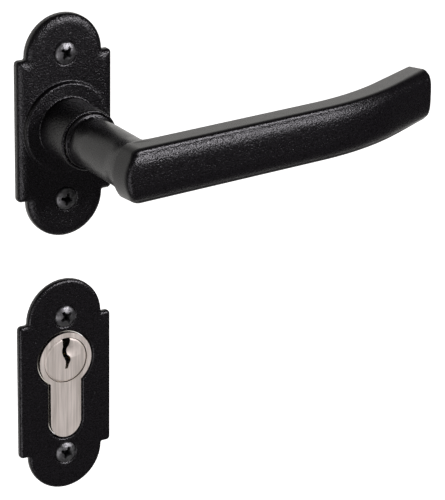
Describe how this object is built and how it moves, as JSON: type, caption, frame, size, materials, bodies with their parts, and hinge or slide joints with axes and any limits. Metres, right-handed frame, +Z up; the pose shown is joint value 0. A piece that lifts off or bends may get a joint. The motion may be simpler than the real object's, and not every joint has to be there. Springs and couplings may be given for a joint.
{
  "type": "door lever handle",
  "caption": "Sprung lever handle on a short shouldered backplate with round ends, a matching key escutcheon below it, and a short profile half cylinder with its pins and cam.",
  "frame": {"origin": "on the lever's turning axis, in the plane of the door's face (the back of both plates)", "axes": "+X along the lever towards its tip, +Y into the door, +Z up"},
  "size_m": [0.1258, 0.0727, 0.146],
  "materials": {
    "cast_iron_black": "matte black, fine cast grain",
    "lever_black": "satin black, fine cast grain on the front of the arm",
    "screw_black": "blackened steel, semi-gloss",
    "nickel": "satin nickel, brushed",
    "steel": "bright zinc-plated steel",
    "spring_steel": "drawn spring steel",
    "brass": "turned",
    "nylon": "natural nylon"
  },
  "bodies": {
    "fixed_set": {"lever_backplate": "cast_iron_black", "neck_bush": "nylon", "return_spring": "spring_steel", "lever_plate_screw_top": "screw_black", "lever_plate_screw_bottom": "screw_black", "escutcheon_plate": "cast_iron_black", "escutcheon_screw_top": "screw_black", "escutcheon_screw_bottom": "screw_black", "cylinder_body": "nickel", "driver_pin_1": "steel", "driver_pin_2": "steel", "driver_pin_3": "steel", "pin_spring_1": "spring_steel", "pin_spring_2": "spring_steel", "pin_spring_3": "spring_steel", "chamber_plug_1": "brass", "chamber_plug_2": "brass", "chamber_plug_3": "brass"},
    "lever": {"lever_handle": "lever_black", "square_spindle": "steel", "spindle_grub_screw": "screw_black", "spring_driver": "steel", "retaining_ring": "spring_steel"},
    "plug": {"cylinder_plug": "nickel", "cylinder_cam": "steel", "plug_circlip": "spring_steel", "key_pin_1": "brass", "key_pin_2": "brass", "key_pin_3": "brass"}
  },
  "joints": [
    {"name": "lever_turn", "type": "hinge", "parent": "fixed_set", "child": "lever", "pos_m": [0, -0.01, 0], "axis": [0, 1, 0], "range_deg": [0, 45], "stiffness_Nm_per_rad": 0.6, "springref_deg": -34.38, "deforming": ["return_spring"]},
    {"name": "plug_turn", "type": "hinge", "parent": "fixed_set", "child": "plug", "pos_m": [0, 0.01, -0.072], "axis": [0, 1, 0], "continuous": true}
  ]
}
